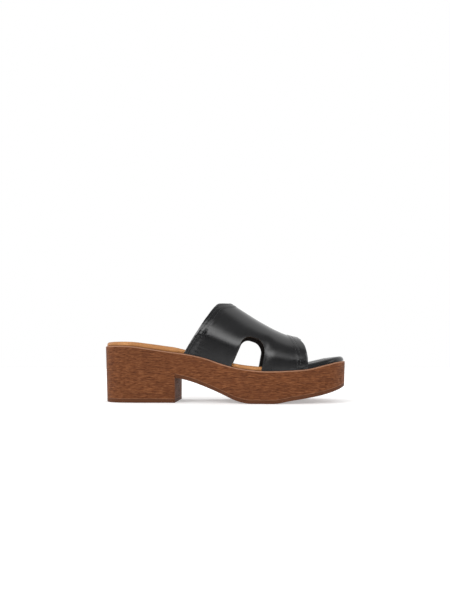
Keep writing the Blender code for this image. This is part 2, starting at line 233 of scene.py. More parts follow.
def mapped_grid(columns, rows, place, layers=()):
    """Return a grid whose vertices go where place says, and each vertex's column and row."""
    bm = bmesh.new()
    bmesh.ops.create_grid(bm, x_segments=columns, y_segments=rows, size=0.5)
    for kind, name in layers:
        getattr(bm.verts.layers, kind).new(name)
    cells = {}
    for vertex in bm.verts:
        column = round((vertex.co.x + 0.5) * columns)
        row = round((vertex.co.y + 0.5) * rows)
        cells[vertex] = (column, row)
    for vertex, (column, row) in cells.items():
        vertex.co = place(column, row) * MM
    return bm, cells


def ring_grid(section, first, last, layers=()):
    """Return a closed tube between two stations, through the sections of both sides."""
    sections = [(section(k, -1), section(k, 1)) for k in range(first, last + 1)]
    reach = len(sections[0][0]) - 1

    def place(column, row):
        outer, inner = sections[column]
        return outer[row] if row <= reach else inner[2 * reach - row]

    return mapped_grid(last - first, 2 * reach, place, layers)


def close_up(bm):
    """Merge the seams and poles of a mapped grid, close its ends and turn its faces outwards."""
    bmesh.ops.remove_doubles(bm, verts=bm.verts[:], dist=0.01 * MM)
    bmesh.ops.holes_fill(bm, edges=[edge for edge in bm.edges if edge.is_boundary], sides=0)
    bmesh.ops.recalc_face_normals(bm, faces=bm.faces[:])


def make_piece(name, bm, *materials):
    """Turn a bmesh into a smooth piece with its materials."""
    mesh = bpy.data.meshes.new(name)
    bm.to_mesh(mesh)
    bm.free()
    mesh.shade_smooth()
    for material in materials:
        mesh.materials.append(material)
    piece = bpy.data.objects.new(name, mesh)
    bpy.context.scene.collection.objects.link(piece)
    return piece


def round_edges(piece, width, segments=2, angle=35):
    """Round off the sharp edges of a piece."""
    bevel = piece.modifiers.new("rounded_edges", "BEVEL")
    bevel.width = width * MM
    bevel.segments = segments
    bevel.limit_method = "ANGLE"
    bevel.angle_limit = math.radians(angle)
    bevel.harden_normals = True


def add(tree, kind, inputs=None, **settings):
    """Add a node, set its properties, and fill or wire its inputs."""
    node = tree.nodes.new(kind)
    for name, value in settings.items():
        setattr(node, name, value)
    for name, value in (inputs or {}).items():
        if isinstance(value, bpy.types.NodeSocket):
            tree.links.new(value, node.inputs[name])
        else:
            node.inputs[name].default_value = value
    return node


def sized(tree, vector, *sizes):
    """Return a vector scaled so that one unit is a feature of these sizes in millimetres."""
    scale = [1 / (size * MM) for size in sizes]
    return add(tree, "ShaderNodeMapping", {"Vector": vector, "Scale": scale}).outputs["Vector"]


def noise(tree, vector, detail=2.0, roughness=0.5):
    """Return a noise value that varies about once a unit."""
    inputs = {"Vector": vector, "Scale": 1.0, "Detail": detail, "Roughness": roughness}
    return add(tree, "ShaderNodeTexNoise", inputs).outputs["Fac"]


def graded(tree, value, low, high, to_low=0.0, to_high=1.0):
    """Return a value spread smoothly from one range to another."""
    inputs = {"Value": value, "From Min": low, "From Max": high}
    inputs.update({"To Min": to_low, "To Max": to_high})
    node = add(tree, "ShaderNodeMapRange", inputs, interpolation_type="SMOOTHSTEP")
    return node.outputs["Result"]


def math_of(tree, operation, first, second):
    """Return the result of a sum on two values."""
    node = add(tree, "ShaderNodeMath", operation=operation)
    for socket, value in zip(node.inputs, (first, second)):
        if isinstance(value, bpy.types.NodeSocket):
            tree.links.new(value, socket)
        else:
            socket.default_value = value
    return node.outputs["Value"]


def colour_mix(tree, factor, below, above):
    """Return a colour between two others."""
    node = add(tree, "ShaderNodeMix", data_type="RGBA")
    sockets = (node.inputs[0], node.inputs[6], node.inputs[7])
    for socket, value in zip(sockets, (factor, below, above)):
        if isinstance(value, bpy.types.NodeSocket):
            tree.links.new(value, socket)
        else:
            socket.default_value = value if socket is sockets[0] else (*value, 1.0)
    return node.outputs[2]


def new_material(name, **constants):
    """Return a new material's nodes and shader, with the shader's constant values set."""
    material = bpy.data.materials.new(name)
    material.use_nodes = True
    shader = material.node_tree.nodes["Principled BSDF"]
    for socket, value in constants.items():
        shader.inputs[socket.replace("_", " ")].default_value = value
    return material, material.node_tree, shader


def bumped(tree, shader, height, depth):
    """Raise the surface by a height, given the depth in millimetres between 0 and 1."""
    inputs = {"Height": height, "Strength": 1.0, "Distance": depth * MM}
    tree.links.new(add(tree, "ShaderNodeBump", inputs).outputs["Normal"], shader.inputs["Normal"])


WOOD_DARK = (0.098, 0.03, 0.0105)
WOOD_LIGHT = (0.18, 0.061, 0.0215)
DASH_LIGHT = (0.25, 0.092, 0.036)
DASH_DARK = (0.062, 0.018, 0.0066)
FINE_LIGHT = (0.23, 0.084, 0.033)
CLOUD_TONE = (0.12, 0.039, 0.0153)
PORE_TONE = (0.055, 0.016, 0.0058)
GLINT_TONE = (0.27, 0.105, 0.046)
# The light tone on the rim is partly rubbed wear and partly painted highlight; on the bottom edge it
# is painted highlight.
RUBBED_AND_HIGHLIGHT_TONE = (0.42, 0.22, 0.135)
GRAIN_SWAY = 1.4
GRAIN_DEPTH = 0.12


def wood_effect():
    """Return the sole's finish: brown streaks and short pores that run with the grain."""
    material, tree, shader = new_material("wood_effect", Specular_IOR_Level=0.1)
    grain = add(tree, "ShaderNodeAttribute", attribute_name="grain").outputs["Vector"]
    rim_wear_and_highlight = add(tree, "ShaderNodeAttribute", attribute_name="rim").outputs["Fac"]
    sway = math_of(tree, "MULTIPLY", noise(tree, sized(tree, grain, 46, 30, 20)), GRAIN_SWAY * MM)
    offset = add(tree, "ShaderNodeCombineXYZ", {"Y": sway}).outputs["Vector"]
    inputs = {0: grain, 1: offset}
    swayed = add(tree, "ShaderNodeVectorMath", inputs, operation="ADD").outputs["Vector"]
    streaks = noise(tree, sized(tree, swayed, 26, 1.3, 12), detail=4.0, roughness=0.62)
    dashes = noise(tree, sized(tree, swayed, 6.5, 0.75, 9), detail=1.0)
    fine = noise(tree, sized(tree, swayed, 7, 0.45, 12), detail=2.0)
    pores = graded(tree, noise(tree, sized(tree, swayed, 3.6, 0.5, 12), detail=1.0), 0.55, 0.66)
    glints = graded(tree, noise(tree, sized(tree, swayed, 5.0, 0.7, 9), detail=1.0), 0.56, 0.68)
    tone = noise(tree, sized(tree, grain, 60, 18, 20))
    colour = colour_mix(tree, graded(tree, streaks, 0.3, 0.7), WOOD_DARK, WOOD_LIGHT)
    colour = colour_mix(tree, graded(tree, dashes, 0.52, 0.66, 0.0, 0.7), colour, DASH_LIGHT)
    colour = colour_mix(tree, graded(tree, dashes, 0.34, 0.48, 0.75, 0.0), colour, DASH_DARK)
    colour = colour_mix(tree, graded(tree, fine, 0.35, 0.75, 0.0, 0.35), colour, FINE_LIGHT)
    colour = colour_mix(tree, graded(tree, tone, 0.3, 0.7, 0.0, 0.3), colour, CLOUD_TONE)
    colour = colour_mix(tree, math_of(tree, "MULTIPLY", pores, 0.6), colour, PORE_TONE)
    colour = colour_mix(tree, math_of(tree, "MULTIPLY", glints, 0.35), colour, GLINT_TONE)
    # Painted highlight, partly rubbed wear: the rim's rounding and the bottom edge are mixed towards
    # a light tone.
    colour = colour_mix(tree, math_of(tree, "MULTIPLY", rim_wear_and_highlight, 0.7), colour, RUBBED_AND_HIGHLIGHT_TONE)
    tree.links.new(colour, shader.inputs["Base Color"])
    rough = graded(tree, streaks, 0.3, 0.7, 0.56, 0.66)
    rough = math_of(tree, "ADD", rough, math_of(tree, "MULTIPLY", pores, 0.2))
    tree.links.new(rough, shader.inputs["Roughness"])
    relief = math_of(tree, "SUBTRACT", math_of(tree, "MULTIPLY", streaks, 0.6), pores)
    bumped(tree, shader, relief, GRAIN_DEPTH)
    return material


def underside(x):
    """Return the height of the moulding's underside forward of the heel."""
    return tread(x) + OUTSOLE + GAP


BOTTOM_STEPS = 6
SIDE_SHARES = (0.0, 0.3, 0.6, 0.85, 1.0)
RIM_STEPS = 5
TOP_STEPS = 4
SEAT_INSET = 5.0
SEAT_RISE = 0.26
FIRST_RIM_ROW = BOTTOM_STEPS + 1 + len(SIDE_SHARES)


def sole_section(k, side):
    """Return the points from the underside's middle, round the side and to the top's middle."""
    x = stations[k]
    low = underside(x)
    shoulder = rim(x) - RIM_ROUND
    edge = edge_point(k, side, side_lean(x, low), low)
    middle = middle_point(k, side_lean(x, low), low)
    points = [middle.lerp(edge, step / BOTTOM_STEPS) for step in range(BOTTOM_STEPS)]
    first = low + JOINT_GLOW
    last = shoulder - RIM_GLOW
    for height in [low] + [first + (last - first) * share for share in SIDE_SHARES]:
        points.append(edge_point(k, side, side_lean(x, height), height))
    for step in range(RIM_STEPS + 1):
        angle = math.pi / 2 * step / RIM_STEPS
        inset = RIM_ROUND * (1 - math.cos(angle))
        points.append(rim_point(k, side, inset, RIM_ROUND * (math.sin(angle) - 1)))
    points.append(rim_point(k, side, SEAT_INSET, 0.0))
    edge = rim_point(k, side, SEAT_INSET + SEAT_RISE, SEAT_RISE)
    middle = rim_middle(k, SEAT_INSET + SEAT_RISE, SEAT_RISE)
    points += [edge.lerp(middle, step / TOP_STEPS) for step in range(TOP_STEPS + 1)]
    return points


last_station = len(stations) - 1
layers = (("float_vector", "grain"), ("float", "rim"))
bm, cells = ring_grid(sole_section, 0, last_station, layers)
grain_layer = bm.verts.layers.float_vector["grain"]
rim_wear_and_highlight_layer = bm.verts.layers.float["rim"]
round_lengths = way_round()
GRAIN_SHIFT = 20.0
JOINT_HIGHLIGHT = 0.5
half_way = FIRST_RIM_ROW + RIM_STEPS + TOP_STEPS + 2
for vertex, (k, row) in cells.items():
    side = -1 if row <= half_way else 1
    ring = min(row, 2 * half_way - row)
    edge = edge_point(k, side, 0.0, 0.0) * MM
    way = round_lengths[(k, side)] * MM + (vertex.co.xy - edge.xy).length
    share = round_lengths[(k, side)] / round_lengths[(last_station, side)]
    vertex[grain_layer] = (way, 0.0, side * math.sin(math.pi * share) * GRAIN_SHIFT * MM)
    # The rim's rounding rows carry the painted highlight with rubbed wear, and the lowest side row
    # forward of the breast carries a weaker painted highlight.
    vertex[rim_wear_and_highlight_layer] = 1.0 if FIRST_RIM_ROW <= ring <= FIRST_RIM_ROW + RIM_STEPS else 0.0
    if ring == BOTTOM_STEPS and stations[k] > BREAST:
        vertex[rim_wear_and_highlight_layer] = JOINT_HIGHLIGHT
close_up(bm)

# The heel block is drawn down from the underside behind the breast.
heel_front = (BREAST + GAP / 2) * MM
heel_half_width = -plan_side[-1](BREAST)
heel_seat = [
    face for face in bm.faces
    if face.normal.z < -0.9 and all(vertex.co.x < heel_front for vertex in face.verts)
]
block = bmesh.ops.extrude_face_region(bm, geom=heel_seat)
bmesh.ops.delete(bm, geom=heel_seat, context="FACES")
drop = underside(BREAST) - LIFT - GAP
back_lean = 1 - DRAFT * drop / (BREAST - HEEL_BACK)
side_scale = 1 - DRAFT * drop / heel_half_width
joint = (LIFT + GAP) * MM
for vertex in block["geom"]:
    if isinstance(vertex, bmesh.types.BMVert):
        vertex.co.x = BREAST * MM + (vertex.co.x - BREAST * MM) * back_lean
        vertex.co.y *= side_scale
        vertex.co.z = joint
bmesh.ops.bisect_plane(
    bm, geom=bm.verts[:] + bm.edges[:] + bm.faces[:], dist=1e-6,
    plane_co=(0, 0, joint + JOINT_GLOW * MM), plane_no=(0, 0, 1),
)
for vertex in bm.verts:
    vertex[grain_layer].y = vertex.co.z
    # The heel block's bottom edge carries the same weaker painted highlight.
    if vertex.co.x < heel_front and vertex.co.z < joint + 2 * JOINT_GLOW * MM:
        vertex[rim_wear_and_highlight_layer] = JOINT_HIGHLIGHT if vertex.co.z < joint + 1e-6 else 0.0
bmesh.ops.recalc_face_normals(bm, faces=bm.faces[:])
sole = make_piece("sole_moulding", bm, wood_effect())
round_edges(sole, width=0.5)
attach(sole, "root")
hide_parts("sole_unit")


# Outsole and top lift: sheets of brown rubber stuck under the forepart and the heel. Their cut
# edges are buffed to match the wood, and the walking side is plain.
TREAD_ROUND = 0.35
ROUND_STEPS = 3
JOINT = 0.05
RUBBER_DARK = (0.073, 0.025, 0.0105)
RUBBER_LIGHT = (0.12, 0.044, 0.019)
RUBBER_CLOUD = (0.132, 0.049, 0.022)


def tread_rubber():
    """Return the rubber's finish: dull brown with a fine buffed speckle."""
    material, tree, shader = new_material("tread_rubber", Specular_IOR_Level=0.1)
    place = add(tree, "ShaderNodeTexCoord").outputs["Object"]
    speckle = noise(tree, sized(tree, place, 0.5, 0.5, 0.5), detail=3.0, roughness=0.7)
    cloud = noise(tree, sized(tree, place, 14, 9, 5))
    colour = colour_mix(tree, graded(tree, speckle, 0.3, 0.7), RUBBER_DARK, RUBBER_LIGHT)
    colour = colour_mix(tree, graded(tree, cloud, 0.35, 0.7, 0.0, 0.4), colour, RUBBER_CLOUD)
    tree.links.new(colour, shader.inputs["Base Color"])
    tree.links.new(graded(tree, speckle, 0.3, 0.7, 0.52, 0.68), shader.inputs["Roughness"])
    bumped(tree, shader, speckle, depth=0.08)
    return material


def rubber_sheet(first, last, bottom, thickness):
    """Return a sheet under the sole between two stations, with rounded edges."""
    def section(k, side):
        x = stations[k]
        base = bottom(x)
        inset = side_lean(x, base) + TREAD_ROUND
        edge = edge_point(k, side, inset, base)
        points = [middle_point(k, inset, base), edge]
        for step in range(1, ROUND_STEPS + 1):
            angle = math.pi / 2 * step / ROUND_STEPS
            height = base + TREAD_ROUND * (1 - math.cos(angle))
            lean = side_lean(x, height) + TREAD_ROUND * (1 - math.sin(angle))
            points.append(edge_point(k, side, lean, height))
        top = base + thickness
        points.append(edge_point(k, side, side_lean(x, top), top - TREAD_ROUND))
        points.append(edge_point(k, side, side_lean(x, top) + TREAD_ROUND, top))
        points.append(middle_point(k, side_lean(x, top) + TREAD_ROUND, top))
        return points

    bm, _ = ring_grid(section, first, last)
    close_up(bm)
    return bm


rubber = tread_rubber()
breast_station = stations.index(BREAST)
bm = rubber_sheet(breast_station + 1, last_station, tread, OUTSOLE + GAP - JOINT)
outsole = make_piece("outsole_sheet", bm, rubber)
round_edges(outsole, width=0.25)
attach(outsole, "root")
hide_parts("outsole")

bm = rubber_sheet(0, breast_station, lambda x: 0.0, LIFT + GAP - JOINT)
top_lift = make_piece("top_lift_sheet", bm, rubber)
round_edges(top_lift, width=0.25)
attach(top_lift, "root")
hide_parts("heel_top_lift")


# Footbed: a firm foam insole under a tan leather sock, which is turned down over its edge. It is
# glued to the top of the sole and has a shallow hollow under the heel and the ball of the foot.
TAN_DARK = (0.415, 0.182, 0.06)
TAN_LIGHT = (0.55, 0.264, 0.096)
TAN_CREASE_SHADE = (0.29, 0.117, 0.041)
FOOTBED_ROLL = 2.6
ROLL_STEPS = 7
ACROSS_STEPS = 10

FootbedEdge = namedtuple("FootbedEdge", "x outer inner")
FOOTBED_EDGE = [
    FootbedEdge(x=-125.0, outer=1.4, inner=1.4),
    FootbedEdge(x=-50.0, outer=1.4, inner=1.4),
    FootbedEdge(x=-43.0, outer=3.9, inner=3.9),
    FootbedEdge(x=8.0, outer=3.9, inner=3.9),
    FootbedEdge(x=15.0, outer=1.4, inner=1.4),
    FootbedEdge(x=29.0, outer=1.4, inner=1.4),
    FootbedEdge(x=36.0, outer=3.9, inner=3.9),
    FootbedEdge(x=82.0, outer=3.9, inner=3.9),
    FootbedEdge(x=90.0, outer=2.9, inner=3.9),
    FootbedEdge(x=98.0, outer=2.9, inner=2.9),
    FootbedEdge(x=125.0, outer=2.9, inner=2.9),
]
Padding = namedtuple("Padding", "x thickness hollow")
PADDING = [
    Padding(x=-125.0, thickness=3.8, hollow=0.0),
    Padding(x=-100.0, thickness=4.1, hollow=2.0),
    Padding(x=-72.0, thickness=4.8, hollow=1.8),
    Padding(x=-52.0, thickness=5.0, hollow=1.3),
    Padding(x=-38.0, thickness=3.9, hollow=1.0),
    Padding(x=15.0, thickness=3.7, hollow=1.0),
    Padding(x=45.0, thickness=4.0, hollow=1.2),
    Padding(x=80.0, thickness=3.7, hollow=0.6),
    Padding(x=100.0, thickness=3.4, hollow=0.2),
    Padding(x=125.0, thickness=3.4, hollow=0.0),
]
footbed_inset = {-1: curve(FOOTBED_EDGE, "outer"), 1: curve(FOOTBED_EDGE, "inner")}
padding = curve(PADDING, "thickness")
hollow = curve(PADDING, "hollow")


def leather_grain():
    """Return the node group for leather: pebbled grain, fine wrinkles and slow changes of tone."""
    group = bpy.data.node_groups.new("leather_grain", "ShaderNodeTree")
    sockets = group.interface
    sockets.new_socket("Vector", in_out="INPUT", socket_type="NodeSocketVector")
    sockets.new_socket("Pebbles", in_out="INPUT", socket_type="NodeSocketFloat")
    for name in ("Height", "Creases", "Tone"):
        sockets.new_socket(name, in_out="OUTPUT", socket_type="NodeSocketFloat")
    entry = group.nodes.new("NodeGroupInput").outputs
    leave = group.nodes.new("NodeGroupOutput")
    wander = noise(group, sized(group, entry["Vector"], 3.0, 3.0, 3.0))
    wander = math_of(group, "MULTIPLY", wander, 0.5 * MM)
    inputs = {0: entry["Vector"], 1: wander}
    moved = add(group, "ShaderNodeVectorMath", inputs, operation="ADD").outputs["Vector"]
    inputs = {"Vector": moved, "Scale": entry["Pebbles"]}
    cracks = add(group, "ShaderNodeTexVoronoi", inputs, feature="DISTANCE_TO_EDGE")
    pebble = graded(group, cracks.outputs["Distance"], 0.0, 0.28)
    wrinkle = noise(group, sized(group, entry["Vector"], 0.9, 0.9, 0.9), detail=3.0, roughness=0.6)
    height = math_of(group, "ADD", math_of(group, "MULTIPLY", pebble, 0.7), wrinkle)
    group.links.new(height, leave.inputs["Height"])
    # Creases marks the crevices between the pebbles; the materials darken them as painted shade.
    group.links.new(math_of(group, "SUBTRACT", 1.0, pebble), leave.inputs["Creases"])
    tone = noise(group, sized(group, entry["Vector"], 22, 22, 22), detail=3.0)
    group.links.new(tone, leave.inputs["Tone"])
    return group


grain_group = leather_grain()


def grained(tree, pebble_size):
    """Place the leather group in a material, with pebbles of a size in millimetres."""
    place = add(tree, "ShaderNodeTexCoord").outputs["Object"]
    inputs = {"Vector": place, "Pebbles": 1 / (pebble_size * MM)}
    return add(tree, "ShaderNodeGroup", inputs, node_tree=grain_group).outputs


def tan_leather():
    """Return the footbed's finish: smooth tan leather with a close grain."""
    material, tree, shader = new_material("tan_leather", Specular_IOR_Level=0.25)
    grain = grained(tree, pebble_size=0.55)
    colour = colour_mix(tree, graded(tree, grain["Tone"], 0.3, 0.7), TAN_DARK, TAN_LIGHT)
    # Painted shade: the crevices between the grain's pebbles are darkened.
    crease_shade = math_of(tree, "MULTIPLY", grain["Creases"], 0.35)
    colour = colour_mix(tree, crease_shade, colour, TAN_CREASE_SHADE)
    tree.links.new(colour, shader.inputs["Base Color"])
    tree.links.new(graded(tree, grain["Tone"], 0.3, 0.7, 0.46, 0.58), shader.inputs["Roughness"])
    bumped(tree, shader, grain["Height"], depth=0.05)
    return material


def footbed_section(k, side):
    """Return the points from the underside's middle, over the rolled edge and to the middle."""
    x = stations[k]
    top = GAP + padding(x)
    inset = footbed_inset[side](x)
    points = [rim_middle(k, inset, GAP), rim_point(k, side, inset, GAP)]
    for step in range(ROLL_STEPS + 1):
        angle = math.pi / 2 * step / ROLL_STEPS
        inward = inset + FOOTBED_ROLL * (1 - math.cos(angle))
        points.append(rim_point(k, side, inward, top - FOOTBED_ROLL * (1 - math.sin(angle))))
    edge = points[-1]
    middle = rim_middle(k, inset + FOOTBED_ROLL, top)
    for step in range(1, ACROSS_STEPS + 1):
        share = step / ACROSS_STEPS
        dip = hollow(x) * (0.5 - 0.5 * math.cos(math.pi * share))
        points.append(edge.lerp(middle, share) - Vector((0, 0, dip)))
    return points


bm, _ = ring_grid(footbed_section, 0, last_station)
close_up(bm)
footbed = make_piece("padded_footbed", bm, tan_leather())
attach(footbed, "root")
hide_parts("footbed")


# Toe binding: a strip of the black leather turned over the footbed's edge round the toe and glued
# down. It is thinned towards its inner edge, and its ends meet the front of the upper.
BLACK_DARK = (0.0052, 0.0052, 0.0057)
BLACK_LIGHT = (0.0082, 0.0082, 0.0089)
BLACK_CREASE_SHADE = (0.0042, 0.0042, 0.0046)
BINDING = 1.2
BINDING_INSET = 1.4
BINDING_MARGIN = 11.0
SKIVE = 1.05
BINDING_STEPS = 9


def black_leather(name, pebble_size, roughness, relief, shine=0.5):
    """Return black leather: a soft gloss broken up by fine grain."""
    material, tree, shader = new_material(
        name, IOR=1.5, Specular_IOR_Level=shine, Coat_Weight=0.06, Coat_Roughness=0.18
    )
    grain = grained(tree, pebble_size)
    colour = colour_mix(tree, graded(tree, grain["Tone"], 0.3, 0.7), BLACK_DARK, BLACK_LIGHT)
    # Painted shade: the crevices between the grain's pebbles are darkened.
    crease_shade = math_of(tree, "MULTIPLY", grain["Creases"], 0.5)
    colour = colour_mix(tree, crease_shade, colour, BLACK_CREASE_SHADE)
    tree.links.new(colour, shader.inputs["Base Color"])
    rough = graded(tree, grain["Tone"], 0.3, 0.7, roughness - 0.04, roughness + 0.05)
    tree.links.new(rough, shader.inputs["Roughness"])
    bumped(tree, shader, grain["Height"], relief)
    return material


def binding_section(k, side):
    """Return the binding's cut, out over the roll and back along its underside."""
    top = GAP + padding(stations[k]) + GAP + BINDING
    inner_roll = FOOTBED_ROLL + GAP
    outer_roll = inner_roll + BINDING
    half_up = (GAP + top - outer_roll) / 2
    outer = [(0.0, GAP), (0.0, half_up)]
    inner = [(BINDING, GAP), (BINDING, half_up)]
    for step in range(BINDING_STEPS + 1):
        angle = math.pi / 2 * step / BINDING_STEPS
        inward = 1 - math.cos(angle)
        down = 1 - math.sin(angle)
        outer.append((outer_roll * inward, top - outer_roll * down))
        inner.append((BINDING + inner_roll * inward, top - BINDING - inner_roll * down))
    for share in (0.5, 1.0):
        margin = outer_roll + (BINDING_MARGIN - outer_roll) * share
        outer.append((margin, top - SKIVE * share))
        inner.append((margin, top - BINDING))
    cut = outer + inner[::-1] + outer[:1]
    return [rim_point(k, side, BINDING_INSET + inset, rise) for inset, rise in cut]


binding_run = [(k, -1) for k in range(last_station + 1) if stations[k] >= BINDING_START[-1]]
binding_run += [(k, 1) for k in range(last_station - 1, 0, -1) if stations[k] >= BINDING_START[1]]
binding_cuts = [binding_section(k, side) for k, side in binding_run]
bm, _ = mapped_grid(
    len(binding_cuts) - 1, len(binding_cuts[0]) - 1, lambda column, row: binding_cuts[column][row]
)
close_up(bm)
binding_leather = black_leather(
    "binding_leather", pebble_size=0.8, roughness=0.26, relief=0.008, shine=0.3
)
binding = make_piece("toe_binding_leather", bm, binding_leather)
round_edges(binding, width=0.3, angle=50)
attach(binding, "root")
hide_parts("toe_binding")


# Toe sock: a thin sheet of the black leather glued over the front of the footbed. Its edge lies
# under the binding, and its back end is hidden under the band.
SOCK_START = 66.0
SOCK_LOW = 0.03
SOCK_HIGH = 0.22


def sock_section(k, side):
    """Return the sock's cut from the underside's middle to its edge and back over the top."""
    top = footbed_section(k, side)[ROLL_STEPS + 2:]
    low = [point + Vector((0, 0, SOCK_LOW)) for point in top[::-1]]
    return low + [point + Vector((0, 0, SOCK_HIGH)) for point in top]


sock_station = next(k for k in range(last_station) if stations[k] >= SOCK_START)
bm, _ = ring_grid(sock_section, sock_station, last_station)
close_up(bm)
sock_leather = black_leather("sock_leather", pebble_size=0.8, roughness=0.3, relief=0.008)
sock = make_piece("toe_sock", bm, sock_leather)
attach(sock, "root")


# Upper: one band of smooth black leather over its lining, turned in at the collar and the front
# and cut out on both sides. Its legs go down beside the footbed and are fixed to the sole's edge.
WALL = 2.0
WALL_INSET = 1.2
COLUMNS = 124
ROWS = 228

Section = namedtuple("Section", "x ridge across fullness roof")
SECTIONS = [
    Section(x=-42.0, ridge=127.0, across=2.0, fullness=4.8, roof=0.5),
    Section(x=-20.0, ridge=117.4, across=2.2, fullness=4.8, roof=0.5),
    Section(x=-5.0, ridge=109.6, across=2.5, fullness=4.8, roof=0.5),
    Section(x=8.5, ridge=101.9, across=3.2, fullness=4.8, roof=0.5),
    Section(x=22.0, ridge=93.3, across=4.0, fullness=4.4, roof=0.43),
    Section(x=37.5, ridge=83.3, across=5.0, fullness=3.4, roof=0.22),
    Section(x=53.5, ridge=74.4, across=6.0, fullness=2.75, roof=0.06),
    Section(x=66.0, ridge=69.4, across=7.0, fullness=2.7, roof=0.05),
    Section(x=78.0, ridge=67.0, across=8.0, fullness=2.7, roof=0.05),
    Section(x=92.0, ridge=65.4, across=8.0, fullness=2.7, roof=0.05),
]
Edge = namedtuple("Edge", "over x")
COLLAR = [
    Edge(over=0.0, x=-40.2),
    Edge(over=0.085, x=-34.9),
    Edge(over=0.158, x=-29.3),
    Edge(over=0.202, x=-24.7),
    Edge(over=0.236, x=-20.4),
    Edge(over=0.27, x=-15.6),
    Edge(over=0.297, x=-12.2),
    Edge(over=0.322, x=-9.2),
    Edge(over=0.346, x=-6.4),
    Edge(over=0.37, x=-2.1),
    Edge(over=0.39, x=1.1),
    Edge(over=0.41, x=3.3),
    Edge(over=0.43, x=4.7),
    Edge(over=0.45, x=5.4),
    Edge(over=0.47, x=5.6),
    Edge(over=0.5, x=5.6),
]
FRONT = [
    Edge(over=0.0, x=81.5),
    Edge(over=0.093, x=81.6),
    Edge(over=0.152, x=81.0),
    Edge(over=0.234, x=79.6),
    Edge(over=0.319, x=76.7),
    Edge(over=0.418, x=75.9),
    Edge(over=0.5, x=78.2),
    Edge(over=0.545, x=80.9),
    Edge(over=0.589, x=82.6),
    Edge(over=0.686, x=84.8),
    Edge(over=0.768, x=86.4),
    Edge(over=0.848, x=87.6),
    Edge(over=0.907, x=88.1),
    Edge(over=1.0, x=88.3),
]
Corner = namedtuple("Corner", "x z rounding")
CUTOUT = [
    Corner(x=3.9, z=30.0, rounding=0.0),
    Corner(x=20.0, z=67.7, rounding=8.0),
    Corner(x=41.6, z=61.0, rounding=10.5),
    Corner(x=35.2, z=26.0, rounding=0.0),
]
CUTOUT_STEPS = 9
SNAP = 0.45
PULLS = 4
CUT_EDGE_REACH = 2.0
EASED_REACH = 4.0
EASE_ROUNDS = 6

# Turned edges: how far in the stitch rows run, where the turned-in leather ends, and its swell.
# The edges are rolled, and the sewing puckers the leather beside them, except along the ridge.
Hem = namedtuple("Hem", "edge stitches width swell")
HEMS = [
    Hem(edge="collar", stitches=(3.2, 7.0), width=8.8, swell=0.35),
    Hem(edge="front", stitches=(7.6, 10.8), width=12.4, swell=0.3),
]
STITCH_GROOVE = 0.18
GROOVE_WIDTH = 0.8
HEM_STEP = 1.6
EDGE_ROLL = 0.45
EDGE_ROLL_WIDTH = 1.6
PUCKER = 0.12
PUCKER_SIZE = 2.6
PUCKER_REACH = 20.0
PUCKER_TOP = (8.0, 20.0)
CUT_ROLL = 0.12
CUT_ROLL_WIDTH = 1.4

ridge = curve(SECTIONS, "ridge")
ridge_across = curve(SECTIONS, "across")
fullness = curve(SECTIONS, "fullness")
roof = curve(SECTIONS, "roof")
collar = curve(COLLAR + [Edge(1 - row.over, row.x) for row in COLLAR[-2::-1]], "x", along="over")
front = curve(FRONT, "x", along="over")


def upper_point(along, over):
    """Return a point of the upper's outer face, from collar to front and over the foot."""
    x = collar(over) + (front(over) - collar(over)) * along
    side = -1 if over < 0.5 else 1
    foot = plan_edge(x, side) - side * WALL_INSET
    base = rim(x) + GAP
    outward = abs(math.cos(math.pi * over))
    upward = max(0.0, math.sin(math.pi * over))
    reach = (outward ** fullness(x) + upward ** fullness(x)) ** (-1 / fullness(x))
    across = reach * outward
    up = (1 - roof(x)) * reach * upward + roof(x) * (1 - across ** 2)
    y = ridge_across(x) + (foot - ridge_across(x)) * across
    return Vector((x, y, base + (ridge(x) - base) * up))


def cutout_outline():
    """Return the cut-out's outline seen from the side, with its corners rounded."""
    bm = bmesh.new()
    corners = [bm.verts.new((corner.x, 0.0, corner.z)) for corner in CUTOUT]
    bm.faces.new(corners)
    for corner, vertex in zip(CUTOUT, corners):
        if corner.rounding:
            bmesh.ops.bevel(
                bm, geom=[vertex], offset=corner.rounding, segments=CUTOUT_STEPS,
                profile=0.5, affect="VERTICES", material=-1,
            )
    bm.faces.ensure_lookup_table()
    outline = [Vector((vertex.co.x, vertex.co.z)) for vertex in bm.faces[0].verts]
    bm.free()
    return outline


outline = cutout_outline()


def out_of_cutout(point):
    """Return how far a point is outside the cut-out, seen from the side, less than 0 inside it."""
    place = Vector((point.x, point.z))
    nearest = 1e9
    inside = False
    for start, end in zip(outline, outline[1:] + outline[:1]):
        run = end - start
        share = min(max((place - start).dot(run) / run.length_squared, 0.0), 1.0)
        nearest = min(nearest, (start + run * share - place).length)
        if (start.y > place.y) != (end.y > place.y):
            crossing = start.x + (place.y - start.y) / (end.y - start.y) * run.x
            inside = inside != (place.x < crossing)
    return -nearest if inside else nearest


def pull_to_outline(along, over):
    """Slide a place on the upper to the nearest place on the cut-out's outline."""
    step = 1e-4
    for _ in range(PULLS):
        point = upper_point(along, over)
        miss = out_of_cutout(point)
        along_way = (upper_point(along + step, over) - point) / step
        over_step = step if over < 0.5 else -step
        over_way = (upper_point(along, over + over_step) - point) / over_step
        along_slope = (out_of_cutout(point + along_way * step) - miss) / step
        over_slope = (out_of_cutout(point + over_way * step) - miss) / step
        if over in (0.0, 1.0):
            over_slope = 0.0
        along_pull = along_slope / along_way.length_squared
        over_pull = over_slope / over_way.length_squared
        total = along_slope * along_pull + over_slope * over_pull
        if total < 1e-9:
            break
        along -= miss * along_pull / total
        over = min(max(over - miss * over_pull / total, 0.0), 1.0)
    return along, over


